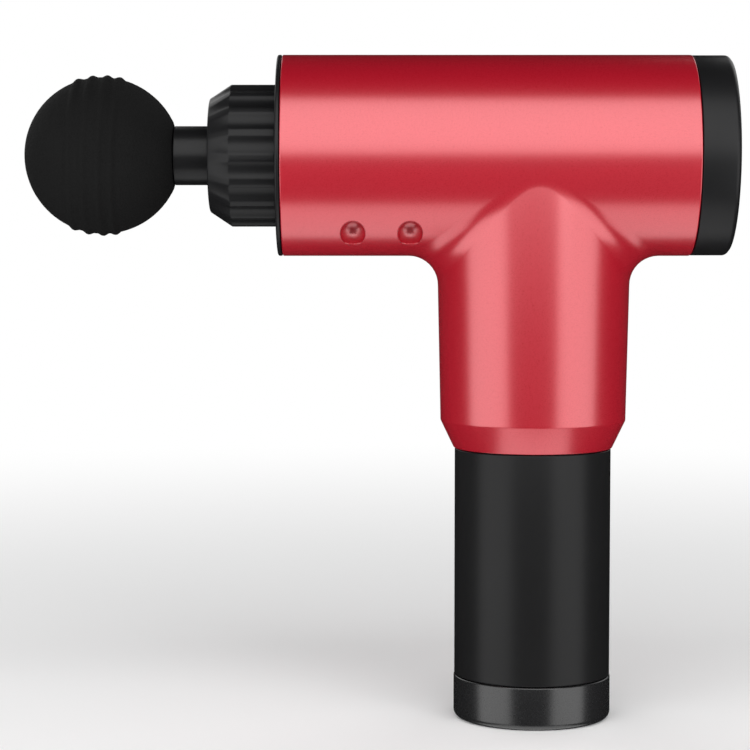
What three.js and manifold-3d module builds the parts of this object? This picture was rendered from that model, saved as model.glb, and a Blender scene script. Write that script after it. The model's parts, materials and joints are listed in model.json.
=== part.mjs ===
// Massage gun: a red T-shaped shell with a percussion drive in its barrel, a battery handle below,
// a control panel in the rear cap and a ball head that pushes into the plunger's socket.
//
// Frame: millimetres, +Z up, origin at the centre of the handle's underside. The barrel lies along X:
// the ball head points to -X and the rear panel faces +X.

import * as THREE from 'three';
import { mergeVertices } from 'three/addons/utils/BufferGeometryUtils.js';
import Module from 'manifold-3d';

const wasm = await Module();
wasm.setup();

// ---- Driving dimensions --------------------------------------------------------------------

const GAP = 0.3; // between pieces that touch
const TURN = 2 * Math.PI;
const PAST = 1; // how far a cutting tool runs past the face it enters
const OUTSIDE = 40; // a distance from the barrel's axis that is clear of the shell

// Sides of the round pieces, by size
const LARGE = 36;
const MEDIUM = 24;
const SMALL = 16;
const TINY = 10;

// T-shaped shell
const BARREL_Z = 184; // height of the barrel's axis
const BARREL_R = 32.5;
const WALL = 2.5;
const BARREL_FRONT_X = -81.5;
const BARREL_REAR_X = 50.5;
const NECK_TOP_R = 31.15;
const NECK_LOW_R = 30.2;
const NECK_TAPER_TOP_Z = 142;
const NECK_SHOULDER_Z = 98; // the cone down to the grip starts here
const NECK_END_Z = 89;
const NECK_END_R = 25.9;
const NECK_LIP = 2; // height of the inner edge at the neck's end
const FILLET_R = 9.5; // blend between the barrel and the neck

// Front plate and collar
const PLATE_FRONT_X = -83.1;
const PLATE_HOLE_R = 19.9;
const COLLAR_FRONT_X = -105.1;
const COLLAR_FULL_X = -97.9; // where the front chamfer reaches the full radius
const COLLAR_FRONT_R = 18.3;
const COLLAR_R = 23.1;
const COLLAR_BORE_R = 19.6;
const COLLAR_LIP_X = -99.5;
const FLUTES = 18;
const FLUTE_R = 5.5;
const FLUTE_DEPTH = 0.9;
const FLUTE_SIDES = 14;

// Rear cap and panel
const CAP_REAR_X = 62.8;
const CAP_R = 32.35;
const CAP_EDGE_R = 1.4;
const PANEL_SEAT_X = 60.6;
const PANEL_R = 30.6;
const PANEL_X = [60.9, 62.3];
const VENT_R = 1.35;
const VENT_SIDES = 6;
const VENT_RINGS = [ // radius, positions round the circle, and the positions that are drilled
  { radius: 8.86, count: 12, drilled: (i) => i < 8 || i > 10 },
  { radius: 14.3, count: 20, drilled: (i) => i <= 10 },
  { radius: 19.7, count: 24, drilled: () => true },
  { radius: 25.2, count: 32, drilled: () => true },
];
const SENSOR_HOLE = { y: 7.2, z: -14.2 };
const LED_RING_R = 19.7;
const LED_ANGLES = [60, 75, 90, 105, 120, 135];
const LED_R = 1.1;
const STRIP_HALF_WIDTH = 1.5;
const STRIP_END = 6; // degrees that the light strip runs past its last lamp
const BUTTON_R = 4.9;
const BUTTON_HOLE_R = 5.2;
const BUTTON_TRAVEL = 0.8;
const BUTTON_FRONT_X = 62.5;
const BUTTON_BACK_X = 59;
const STALK_END_X = 57;
const JACK_Z = -13.2; // below the barrel's axis
const JACK_BORE_R = 3; // takes a 5.5 mm charging plug
const JACK_FLOOR_X = 51;
const JACK_BODY_R = 4.6;
const JACK_RING_R = 3.8;
const JACK_RING_REAR_X = 62.7;
const JACK_PIN_R = 0.8;
const JACK_PIN_TIP_X = 56.5;
const BOARD_X = [46.2, 47.8];
const BOARD_R = 27.4;

// Percussion drive
const CRANK_R = 5; // half of the 10 mm stroke
const ROD_LENGTH = 50;
const CRANK_PIN_X = CRANK_R; // at rest the plunger is fully back
const WRIST_X = CRANK_PIN_X - ROD_LENGTH;
const PLUNGER_X = [-100, -41];
const PLUNGER_R = 12.6;
const SOCKET_R = 9.8;
const SOCKET_END_X = -62;
const SLEEVE_R = [12.9, 14.5];
const FRAME_TUBE_R = [14.8, 17.6];
const FRAME_TUBE_X = [-98.5, -60];
const SLEEVE_X = [-98.5, -63.4];
const BED_X = [-63, 8];
const FLANGE_R = 22;
const SIDE_Y = [17.5, 20.5];
const KEEL_HALF_WIDTH = 6.9;
const KEEL_BOTTOM_Z = 155.4;
const ROD_Z = [180, 188];
const BIG_END_R = 10;
const BIG_BORE_R = 7.8;
const SMALL_END_R = 6;
const WRIST_PIN_R = 2.5;
const WRIST_PIN_HALF_LENGTH = 11.5;
const CRANK_PIN_R = 3.8;
const DISC_R = 14.5;
const DISC_Z = [172.2, 178.7];

// Side fixings, on an axis along Y and below the barrel's own axis
const FIXING_X = [-58.7, -40.5];
const FIXING_DROP = 25;
const FIXING_Z = BARREL_Z - FIXING_DROP;
const POCKET_R = 4.1;
const POCKET_FLOOR_Y = 9.3;
const BOSS_R = 6.5;
const BOSS_Y = [7.3, 28];
const SCREW_R = 1.5;
const SCREW_TIP_Y = 2;
const HEAD_R = 3;
const HEAD_Y = [9.6, 11.4];
const DRIVE_R = 1.2;
const PLUG_Y = 11.7;
const DISH_R = 3.7;
const DISH_CENTRE_Y = 16.2; // centre of the dished face's round floor

// Motor, on a vertical axis through the neck
const PLATE_Z = [167.5, 170.5]; // motor plate of the frame
const PLATE_R = 25.4;
const SHAFT_R = 2.5;
const SHAFT_Z = [146.3, 178.4];
const HUB_R = [6.8, 9];
const HUB_BOTTOM_Z = 150;
const BEARINGS_Z = { lower: [150.5, 155.5], upper: [165, 170] };
const STATOR_R = 17.5;
const STATOR_Z = [153, 163];
const WINDINGS_Z = [151, 164.8];
const TEETH = 9;
const WEB_HALF_WIDTH = 1.4;
const TIP_HALF_WIDTH = 4.2;
const MAGNET_R = [18.2, 20.7];
const MAGNET_Z = [151, 164];
const BELL_R = [21, 22.5];
const BELL_Z = [146, 164.5];
const BELL_FLOOR = 2;

// Handle and battery
const TUBE_R = [22.3, 23.6];
const TUBE_Z = [3, 141];
const GRIP_R = 25.5;
const END_CAP_R = 25.7;
const END_CAP_TOP_Z = 14;
const FOOT_EDGE_R = 2;
const CAP_CHAMFER = 0.4;
const CELL_R = 9.2;
const CELL_LENGTH = 65;
const CELL_CIRCLE_R = 10.9;
const CELL_LOW_Z = [5.2, 72.8];
const TERMINAL_R = 3;
const TERMINAL_HEIGHT = 1.5;
const NECK_RING_Z = [101, 113];
const BATTERY_BOARD_Z = [141.4, 143];

// Ball head
const STEM_R = 9.55;
const STEM_END_X = -63;
const STEM_TIP_R = 7;
const STEM_TIP_X = -128.7;
const GROOVE_X = -72;
const GROOVE_R = 6.6;
const GROOVE_HALF_WIDTH = 1.7;
const STEM_RING_R = 8.25;
const STEM_RING_TUBE_R = 1.35;
const BALL_X = -140;
const BALL_R = 25.3;
const BALL_FLAT_X = -116.9;
const RIB_X = [-148.5, -143.9, -139.1, -135.1];
const RIB_HEIGHT = 0.7;
const RIB_HALF_WIDTH = 1.5;
const BALL_STEP = 15; // degrees between the ball's plain rings of points

// ---- Materials -----------------------------------------------------------------------------

const finish = (color, roughness, metalness) => () =>
  new THREE.MeshStandardMaterial({ color, roughness, metalness });
const redShell = finish(0xc01a2c, 0.35, 0.7);
const redPlug = finish(0xb81828, 0.4, 0.3);
const satinBlack = finish(0x111113, 0.45, 0.0);
const glossBlack = finish(0x0c0c0e, 0.25, 0.0);
const gripRubber = finish(0x161617, 0.7, 0.0);
const foam = finish(0x0d0d0d, 0.95, 0.0);
const rubber = finish(0x1a1a1a, 0.8, 0.0);
const nylon = finish(0xd8d6cc, 0.55, 0.0);
const castAluminium = finish(0xb5b8bc, 0.45, 0.9);
const steel = finish(0xa8abb0, 0.3, 1.0);
const copper = finish(0xb06a38, 0.35, 0.9);
const nickel = finish(0xd5d6d8, 0.15, 1.0);
const boardGreen = finish(0x1d5b35, 0.5, 0.0);
const cellWrap = finish(0x2f6fb5, 0.4, 0.0);
const redLight = finish(0xff1a1a, 0.3, 0.0);
const leadRed = finish(0xa01515, 0.5, 0.0);

// ---- Solids --------------------------------------------------------------------------------

/** A closed three.js geometry as a solid that can be joined and cut. */
function toSolid(source) {
  const bare = source.index ? source.toNonIndexed() : source.clone();
  bare.deleteAttribute('normal');
  bare.deleteAttribute('uv');
  const merged = mergeVertices(bare, 1e-4);
  const index = merged.index.array;
  const kept = [];
  for (let i = 0; i < index.length; i += 3) {
    const [a, b, c] = [index[i], index[i + 1], index[i + 2]];
    if (a !== b && b !== c && c !== a) kept.push(a, b, c);
  }
  const vertProperties = Float32Array.from(merged.attributes.position.array);
  const build = (triVerts) => new wasm.Manifold(new wasm.Mesh({ numProp: 3, vertProperties, triVerts }));
  const solid = build(Uint32Array.from(kept));
  if (solid.volume() > 0) return solid;
  return build(Uint32Array.from(kept).reverse());
}

/** A solid as a three.js geometry. */
function toGeometry(solid) {
  const { vertProperties, triVerts } = solid.getMesh();
  const geometry = new THREE.BufferGeometry();
  geometry.setAttribute('position', new THREE.BufferAttribute(Float32Array.from(vertProperties), 3));
  geometry.setIndex(Array.from(triVerts));
  const flat = geometry.toNonIndexed();
  flat.computeVertexNormals();
  return flat;
}

const join = (...solids) => solids.reduce((all, one) => all.add(one));
const cut = (solid, ...tools) => tools.reduce((rest, tool) => rest.subtract(tool), solid);

/** Turns a lathe geometry, whose axis is Y, so that its axis is X or Z. */
function alongAxis(geometry, axis) {
  if (axis === 'x') geometry.rotateZ(-Math.PI / 2);
  if (axis === 'z') geometry.rotateX(Math.PI / 2);
  return geometry;
}

/** A solid of revolution from [position along the axis, radius] points. */
function revolve(axis, profile, segments = MEDIUM) {
  const points = profile.map(([along, radius]) => new THREE.Vector2(radius, along));
  if (points[0].x > 0) points.push(points[0].clone());
  return toSolid(alongAxis(new THREE.LatheGeometry(points, segments), axis));
}

const disc = (axis, radius, from, to, segments = SMALL) =>
  revolve(axis, [[from, 0], [from, radius], [to, radius], [to, 0]], segments);

const ring = (axis, [inner, outer], from, to, segments = MEDIUM) =>
  revolve(axis, [[from, inner], [from, outer], [to, outer], [to, inner]], segments);

function box([x0, x1], [y0, y1], [z0, z1]) {
  const geometry = new THREE.BoxGeometry(x1 - x0, y1 - y0, z1 - z0);
  geometry.translate((x0 + x1) / 2, (y0 + y1) / 2, (z0 + z1) / 2);
  return toSolid(geometry);
}

/** Points of an arc in a lathe profile, as [along, radius] pairs. */
function arc([along, radius], r, fromDegrees, toDegrees, steps) {
  const points = [];
  for (let i = 0; i <= steps; i += 1) {
    const angle = THREE.MathUtils.degToRad(fromDegrees + ((toDegrees - fromDegrees) * i) / steps);
    points.push([along + r * Math.cos(angle), radius + r * Math.sin(angle)]);
  }
  return points;
}

/** A round lead of the given radius along a smooth curve through the points. */
function lead(points, radius) {
  const circle = new THREE.Shape();
  circle.absarc(0, 0, radius, 0, TURN);
  const extrudePath = new THREE.CatmullRomCurve3(points.map((p) => new THREE.Vector3(...p)));
  const fineness = { steps: 14, curveSegments: 2 };
  return toSolid(new THREE.ExtrudeGeometry(circle, { ...fineness, extrudePath }));
}

// ---- Groups and nodes ----------------------------------------------------------------------

const massageGun = new THREE.Group();
const barrel = new THREE.Group(); // its origin is on the barrel's axis
barrel.position.z = BARREL_Z;
massageGun.add(barrel);

function node(parent, name, solid, material, [x, y, z] = [0, 0, 0]) {
  const mesh = new THREE.Mesh(toGeometry(solid), material());
  mesh.name = name;
  mesh.position.set(x, y, z);
  parent.add(mesh);
}

// ---- T-shaped shell, in the barrel's frame -------------------------------------------------

const lowered = (z) => z - BARREL_Z;

/**
 * The blend between barrel and neck: the surface that a ball of the fillet's radius touches as it
 * rolls in the corner between the two cylinders, closed by two edges that lie inside them.
 */
function filletRing(aroundSteps = 24, arcSteps = 3) {
  const sections = [];
  for (let i = 0; i < aroundSteps; i += 1) {
    const angle = (TURN * i) / aroundSteps;
    const reach = NECK_TOP_R + FILLET_R;
    const x = reach * Math.cos(angle);
    const y = reach * Math.sin(angle);
    const centre = new THREE.Vector3(x, y, -Math.sqrt((BARREL_R + FILLET_R) ** 2 - y * y));
    const fromBarrel = new THREE.Vector3(0, -centre.y, -centre.z).normalize();
    const fromNeck = new THREE.Vector3(-Math.cos(angle), -Math.sin(angle), 0);
    const at = (direction, distance) => centre.clone().addScaledVector(direction, distance);
    const section = [at(fromBarrel, FILLET_R + 1)];
    const sweep = fromBarrel.angleTo(fromNeck);
    for (let j = 0; j <= arcSteps; j += 1) {
      const t = (sweep * j) / arcSteps;
      const direction = fromBarrel.clone().multiplyScalar(Math.sin(sweep - t));
      direction.addScaledVector(fromNeck, Math.sin(t)).normalize();
      section.push(at(direction, FILLET_R));
    }
    section.push(at(fromNeck, FILLET_R + 1));
    section.push(at(fromBarrel, FILLET_R + 1).addScaledVector(fromNeck, FILLET_R + 1));
    sections.push(section);
  }
  return toSolid(closedLoft(sections));
}

/** A ring-shaped surface through closed sections, each joined to the next and the last to the first. */
function closedLoft(sections) {
  const positions = sections.flatMap((section) => section.flatMap((p) => p.toArray()));
  const size = sections[0].length;
  const index = [];
  sections.forEach((_, i) => {
    const next = ((i + 1) % sections.length) * size;
    for (let j = 0; j < size; j += 1) {
      const k = (j + 1) % size;
      index.push(i * size + j, next + j, next + k, i * size + j, next + k, i * size + k);
    }
  });
  const geometry = new THREE.BufferGeometry();
  geometry.setAttribute('position', new THREE.BufferAttribute(new Float32Array(positions), 3));
  geometry.setIndex(index);
  return geometry;
}

const alongY = (solid, x, z) => solid.translate(x, 0, z);
const barrelOuter = disc('x', BARREL_R, BARREL_FRONT_X, BARREL_REAR_X, LARGE);

function housing() {
  const neckOuter = revolve('z', [
    [lowered(NECK_END_Z), 0],
    [lowered(NECK_END_Z), NECK_END_R],
    [lowered(NECK_SHOULDER_Z), NECK_LOW_R],
    [lowered(NECK_TAPER_TOP_Z), NECK_TOP_R],
    [0, NECK_TOP_R],
    [0, 0],
  ], LARGE);
  const barrelBore = disc('x', BARREL_R - WALL, BARREL_FRONT_X - PAST, BARREL_REAR_X + PAST, LARGE);
  const neckBore = revolve('z', [
    [lowered(NECK_END_Z) - PAST, 0],
    [lowered(NECK_END_Z) - PAST, TUBE_R[1] + GAP],
    [lowered(NECK_END_Z) + NECK_LIP, TUBE_R[1] + GAP],
    [lowered(NECK_SHOULDER_Z) + 1, NECK_LOW_R - WALL],
    [lowered(NECK_TAPER_TOP_Z), NECK_TOP_R - WALL],
    [0, NECK_TOP_R - WALL],
    [0, 0],
  ], LARGE);
  let shell = cut(join(barrelOuter, neckOuter, filletRing()), barrelBore, neckBore);
  for (const x of FIXING_X) {
    for (const side of [-1, 1]) {
      const boss = disc('y', BOSS_R, side * BOSS_Y[0], side * BOSS_Y[1]);
      const pocket = disc('y', POCKET_R, side * POCKET_FLOOR_Y, side * OUTSIDE);
      const hole = disc('y', SCREW_R + GAP, side * (BOSS_Y[0] - PAST), side * HEAD_Y[1], TINY);
      shell = shell.add(alongY(boss, x, -FIXING_DROP).intersect(barrelOuter));
      shell = cut(shell, alongY(pocket, x, -FIXING_DROP), alongY(hole, x, -FIXING_DROP));
    }
  }
  return shell;
}

node(barrel, 'housing', housing(), redShell);

// ---- Side fixings --------------------------------------------------------------------------

function frameScrew(side) {
  const head = disc('y', HEAD_R, side * HEAD_Y[0], side * HEAD_Y[1], TINY);
  const shank = disc('y', SCREW_R, side * SCREW_TIP_Y, side * (HEAD_Y[0] + GAP), TINY);
  const driveHole = disc('y', DRIVE_R, side * (HEAD_Y[1] - 1), side * (HEAD_Y[1] + PAST), 6);
  return cut(join(head, shank), driveHole);
}

function screwCover(side, x) {
  const plug = disc('y', POCKET_R - GAP / 2, side * PLUG_Y, side * OUTSIDE).translate(x, 0, -FIXING_DROP);
  const dish = toSolid(new THREE.SphereGeometry(DISH_R, TINY, 6)).translate(0, side * DISH_CENTRE_Y, 0);
  const mouth = disc('y', DISH_R, side * DISH_CENTRE_Y, side * (OUTSIDE + PAST), TINY);
  return cut(plug.intersect(barrelOuter), join(dish, mouth).translate(x, 0, -FIXING_DROP));
}

let fixing = 0;
for (const x of FIXING_X) {
  for (const side of [-1, 1]) {
    fixing += 1;
    node(barrel, `frame_screw_${fixing}`, frameScrew(side), steel, [x, 0, -FIXING_DROP]);
    node(barrel, `screw_cover_${fixing}`, screwCover(side, x), redPlug);
  }
}

// ---- Front plate, collar and dampers -------------------------------------------------------

const SPIGOT_R = BARREL_R - WALL - GAP;
const SPIGOT_X = -76.5;
const PLATE_BACK_X = BARREL_FRONT_X - GAP;
const RIM = 2.5; // wall of the plate's two spigots
const DAMPER_R = 17.9;

node(barrel, 'front_plate', revolve('x', [
  [PLATE_FRONT_X, PLATE_HOLE_R],
  [PLATE_FRONT_X, BARREL_R - 0.7],
  [PLATE_FRONT_X + 0.5, BARREL_R - 0.1],
  [PLATE_BACK_X, BARREL_R - 0.1],
  [PLATE_BACK_X, SPIGOT_R],
  [SPIGOT_X, SPIGOT_R],
  [SPIGOT_X, SPIGOT_R - RIM],
  [PLATE_BACK_X, SPIGOT_R - RIM],
  [PLATE_BACK_X, PLATE_HOLE_R + RIM],
  [SPIGOT_X, PLATE_HOLE_R + RIM],
  [SPIGOT_X, PLATE_HOLE_R],
]), satinBlack);

function noseCollar() {
  const back = PLATE_FRONT_X - GAP;
  const lip = PLUNGER_R + 0.6;
  const body = revolve('x', [
    [COLLAR_FRONT_X, lip + 0.5],
    [COLLAR_FRONT_X, COLLAR_FRONT_R - 0.5],
    [COLLAR_FRONT_X + 0.4, COLLAR_FRONT_R],
    [COLLAR_FULL_X, COLLAR_R],
    [back, COLLAR_R],
    [back, COLLAR_BORE_R],
    [COLLAR_LIP_X, COLLAR_BORE_R],
    [COLLAR_LIP_X, lip],
    [COLLAR_FRONT_X + 0.5, lip],
  ], 2 * FLUTES);
  const flute = disc('x', FLUTE_R, COLLAR_FRONT_X - PAST, back + PAST, FLUTE_SIDES);
  let collar = body;
  for (let i = 0; i < FLUTES; i += 1) {
    const reach = COLLAR_R + FLUTE_R - FLUTE_DEPTH;
    const angle = (TURN * (i + 0.5)) / FLUTES;
    collar = cut(collar, flute.translate(0, reach * Math.cos(angle), reach * Math.sin(angle)));
  }
  return collar;
}

node(barrel, 'nose_collar', noseCollar(), satinBlack);
node(barrel, 'damper_ring_front', ring('x', [DAMPER_R, COLLAR_BORE_R - GAP], -97.5, -94.5), rubber);
node(barrel, 'damper_ring_rear', ring('x', [DAMPER_R, PLATE_HOLE_R - GAP], -82.6, -78), rubber);

// ---- Rear cap and control panel ------------------------------------------------------------

node(barrel, 'rear_cap', revolve('x', [
  [BARREL_REAR_X + GAP, SPIGOT_R],
  [BARREL_REAR_X + GAP, CAP_R],
  ...arc([CAP_REAR_X - CAP_EDGE_R, CAP_R - CAP_EDGE_R], CAP_EDGE_R, 90, 0, 3),
  [CAP_REAR_X, PANEL_R + GAP],
  [PANEL_SEAT_X, PANEL_R + GAP],
  [PANEL_SEAT_X, PANEL_R - 1],
  [BOARD_X[0] - 0.2, SPIGOT_R - 1.5],
  [BOARD_X[0] - 0.2, SPIGOT_R],
], LARGE), satinBlack);

/** A round hole or stud through the panel, at a place given from the barrel's axis. */
const panelPeg = (radius, [from, to], y, z, sides) => disc('x', radius, from, to, sides).translate(0, y, z);

function ventPanel() {
  const drill = [PANEL_X[0] - PAST, PANEL_X[1] + PAST];
  const holes = [
    panelPeg(BUTTON_HOLE_R, drill, 0, 0, SMALL),
    panelPeg(JACK_RING_R + GAP / 2, drill, 0, JACK_Z, SMALL),
    panelPeg(VENT_R, drill, SENSOR_HOLE.y, SENSOR_HOLE.z, VENT_SIDES),
  ];
  for (const { radius, count, drilled } of VENT_RINGS) {
    for (let i = 0; i < count; i += 1) {
      const angle = (TURN * i) / count;
      if (!drilled(i)) continue;
      holes.push(panelPeg(VENT_R, drill, radius * Math.cos(angle), radius * Math.sin(angle), VENT_SIDES));
    }
  }
  return cut(disc('x', PANEL_R, ...PANEL_X, LARGE), ...holes);
}

node(barrel, 'vent_panel', ventPanel(), satinBlack);

/** A red strip behind the panel that carries the light of the lamps to six holes in it. */
function lightGuide() {
  const strip = new THREE.Shape();
  const ends = [LED_ANGLES[0] - STRIP_END, LED_ANGLES.at(-1) + STRIP_END];
  const [start, end] = ends.map(THREE.MathUtils.degToRad);
  strip.absarc(0, 0, LED_RING_R + STRIP_HALF_WIDTH, start, end, false);
  strip.absarc(0, 0, LED_RING_R - STRIP_HALF_WIDTH, end, start, true);
  const depth = PANEL_SEAT_X - (BOARD_X[1] + GAP);
  const bar = new THREE.ExtrudeGeometry(strip, { depth, bevelEnabled: false, curveSegments: 8 });
  bar.rotateX(Math.PI / 2);
  bar.rotateZ(Math.PI / 2);
  bar.translate(BOARD_X[1] + GAP, 0, 0);
  const studs = LED_ANGLES.map((degrees) => {
    const angle = THREE.MathUtils.degToRad(degrees);
    const [y, z] = [LED_RING_R * Math.cos(angle), LED_RING_R * Math.sin(angle)];
    return panelPeg(LED_R, [PANEL_SEAT_X - 1, PANEL_X[1]], y, z, VENT_SIDES);
  });
  return join(toSolid(bar), ...studs);
}

node(barrel, 'light_guide', lightGuide(), redLight);

function powerButton() {
  const front = disc('x', BUTTON_R, BUTTON_BACK_X, BUTTON_FRONT_X);
  const flange = disc('x', BUTTON_R + 1.2, BUTTON_BACK_X, PANEL_X[0] - GAP);
  const stalk = disc('x', 2, STALK_END_X, BUTTON_BACK_X + PAST, TINY);
  return join(front, flange, stalk);
}

node(barrel, 'power_button', powerButton(), satinBlack);

const SWITCH_TOP_X = STALK_END_X - BUTTON_TRAVEL - 0.1;
const SWITCH_BODY_X = [BOARD_X[1] + GAP, 53.5];
node(barrel, 'power_switch', join(
  box(SWITCH_BODY_X, [-3, 3], [-3, 3]),
  disc('x', 1.7, SWITCH_BODY_X[1] - 0.5, SWITCH_TOP_X, TINY),
), glossBlack);
node(barrel, 'control_board', disc('x', BOARD_R, ...BOARD_X, MEDIUM), boardGreen);

/** A piece of the charging jack, which is a tube with a pin in its middle. */
const jackNode = (name, solid, material) => node(barrel, name, solid, material, [0, 0, JACK_Z]);
const JACK_BACK_X = BOARD_X[1] + GAP;

jackNode('dc_jack', cut(
  disc('x', JACK_BODY_R, JACK_BACK_X, PANEL_X[0] - GAP),
  disc('x', JACK_BORE_R, JACK_FLOOR_X, PANEL_X[0] + PAST),
  disc('x', JACK_PIN_R + GAP, JACK_BACK_X - PAST, JACK_FLOOR_X + PAST, TINY),
), glossBlack);
jackNode('dc_jack_ring', ring('x', [JACK_BORE_R, JACK_RING_R], PANEL_X[0], JACK_RING_REAR_X, SMALL), nickel);
jackNode('dc_pin', disc('x', JACK_PIN_R, JACK_BACK_X, JACK_PIN_TIP_X, TINY), nickel);

// ---- Drive frame and guide sleeve ----------------------------------------------------------

const CHEEK_TOP = 6; // above the barrel's axis

/** One casting: the tube that guides the plunger, two cheeks, the motor plate, its hub and the keel. */
function driveFrame() {
  const [low, high] = PLATE_Z.map(lowered);
  const flange = cut(
    ring('x', [FRAME_TUBE_R[0], FLANGE_R], BED_X[0], FRAME_TUBE_X[1]),
    box([BED_X[0] - PAST, FRAME_TUBE_X[1] + PAST], [-OUTSIDE, OUTSIDE], [-OUTSIDE, low]),
  );
  const cheeks = [-1, 1].map((side) => {
    const y = SIDE_Y.map((value) => side * value).sort((a, b) => a - b);
    return box(BED_X, y, [low, CHEEK_TOP]);
  });
  const keelX = [FIXING_X[0] - 6, FIXING_X[1] + 6];
  const keelY = [-KEEL_HALF_WIDTH, KEEL_HALF_WIDTH];
  const parts = join(
    ring('x', FRAME_TUBE_R, ...FRAME_TUBE_X),
    flange,
    ...cheeks,
    box([BED_X[0], 0], [-SIDE_Y[1], SIDE_Y[1]], [low, high]),
    disc('z', PLATE_R, low, high, MEDIUM),
    disc('z', HUB_R[1], lowered(HUB_BOTTOM_Z), high),
    box(keelX, keelY, [lowered(KEEL_BOTTOM_Z), low + 1]),
  );
  const screwHole = disc('y', SCREW_R + GAP, -KEEL_HALF_WIDTH - PAST, KEEL_HALF_WIDTH + PAST, TINY);
  const screwHoles = FIXING_X.map((x) => alongY(screwHole, x, -FIXING_DROP));
  return cut(parts, disc('z', HUB_R[0], lowered(HUB_BOTTOM_Z) - PAST, high + PAST), ...screwHoles);
}

node(barrel, 'drive_frame', driveFrame(), castAluminium);
node(barrel, 'guide_sleeve', ring('x', SLEEVE_R, ...SLEEVE_X), nylon);

// ---- Motor ---------------------------------------------------------------------------------

/** The stator's laminations: a ring with T-shaped teeth. grow widens it for cutting the windings. */
function statorCore(grow = 0) {
  const inner = HUB_R[1] + GAP;
  const z = [STATOR_Z[0] - grow, STATOR_Z[1] + grow];
  const rim = STATOR_R - 0.4;
  const teeth = [];
  for (let i = 0; i < TEETH; i += 1) {
    const [web, tip] = [
      box([inner + 1, rim], [-WEB_HALF_WIDTH - grow, WEB_HALF_WIDTH + grow], z),
      box([STATOR_R - 2 - grow, rim + 2 * grow], [-TIP_HALF_WIDTH - grow, TIP_HALF_WIDTH + grow], z),
    ];
    teeth.push(join(web, tip).rotate([0, 0, (360 * i) / TEETH]));
  }
  const yoke = ring('z', [inner - 2 * grow, inner + 2 + grow], ...z, SMALL);
  return join(yoke, ...teeth);
}

function windings() {
  const copperBlock = ring('z', [HUB_R[1] + 2 * GAP, STATOR_R - 1], ...WINDINGS_Z, SMALL);
  return cut(copperBlock, statorCore(GAP));
}

node(massageGun, 'stator_core', statorCore(), steel);
node(massageGun, 'stator_windings', windings(), copper);

const BEARING_R = [SHAFT_R + GAP, HUB_R[0] - GAP];
for (const [place, z] of Object.entries(BEARINGS_Z)) {
  node(massageGun, `motor_bearing_${place}`, ring('z', BEARING_R, ...z, SMALL), steel);
}

node(massageGun, 'rotor_bell', revolve('z', [
  [BELL_Z[0], SHAFT_R + GAP],
  [BELL_Z[0], BELL_R[1] - 1],
  [BELL_Z[0] + 1, BELL_R[1]],
  [BELL_Z[1], BELL_R[1]],
  [BELL_Z[1], BELL_R[0]],
  [BELL_Z[0] + BELL_FLOOR, BELL_R[0]],
  [BELL_Z[0] + BELL_FLOOR, 2 * SHAFT_R],
  [HUB_BOTTOM_Z - 0.5, 2 * SHAFT_R],
  [HUB_BOTTOM_Z - 0.5, SHAFT_R + GAP],
]), steel);
node(massageGun, 'magnet_ring', ring('z', MAGNET_R, ...MAGNET_Z), nickel);
node(massageGun, 'motor_shaft', disc('z', SHAFT_R, ...SHAFT_Z), steel);

/** The crank disc, with the half away from the crank pin left heavy to balance it. */
function crankDisc() {
  const [bottom, top] = DISC_Z;
  const full = disc('z', DISC_R, bottom, top, MEDIUM);
  const relief = cut(
    disc('z', DISC_R - 1.5, bottom + 2.5, top + PAST, MEDIUM),
    box([-OUTSIDE, 0], [-OUTSIDE, OUTSIDE], [bottom, top + 2 * PAST]),
    disc('z', BIG_END_R - 0.5, bottom, top + 2 * PAST).translate(CRANK_PIN_X - 2, 0, 0),
  );
  return cut(full, relief, disc('z', SHAFT_R + GAP, bottom - PAST, top + PAST));
}

node(massageGun, 'crank_disc', crankDisc(), steel);

// ---- Connecting rod ------------------------------------------------------------------------

function connectingRod() {
  const blank = join(
    disc('z', BIG_END_R, ...ROD_Z, MEDIUM).translate(CRANK_PIN_X, 0, 0),
    disc('z', SMALL_END_R, ...ROD_Z).translate(WRIST_X, 0, 0),
    box([WRIST_X, CRANK_PIN_X], [-4, 4], ROD_Z),
  );
  return cut(
    blank,
    disc('z', BIG_BORE_R, ROD_Z[0] - PAST, ROD_Z[1] + PAST, MEDIUM).translate(CRANK_PIN_X, 0, 0),
    disc('z', WRIST_PIN_R + GAP, ROD_Z[0] - PAST, ROD_Z[1] + PAST).translate(WRIST_X, 0, 0),
  );
}

node(massageGun, 'connecting_rod', connectingRod(), castAluminium);
const RACE_R = [CRANK_PIN_R + GAP, BIG_BORE_R - GAP];
const rodBearing = ring('z', RACE_R, ROD_Z[0] + GAP, ROD_Z[1] - GAP);
node(massageGun, 'rod_bearing', rodBearing, steel, [CRANK_PIN_X, 0, 0]);

const PIN_TOP_Z = ROD_Z[1] + 2;
node(massageGun, 'crank_pin', join(
  disc('z', CRANK_PIN_R, DISC_Z[1] + GAP, PIN_TOP_Z - 0.5),
  disc('z', CRANK_PIN_R + 1.4, ROD_Z[1] + GAP, PIN_TOP_Z),
), steel, [CRANK_PIN_X, 0, 0]);

// ---- Plunger -------------------------------------------------------------------------------

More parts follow.
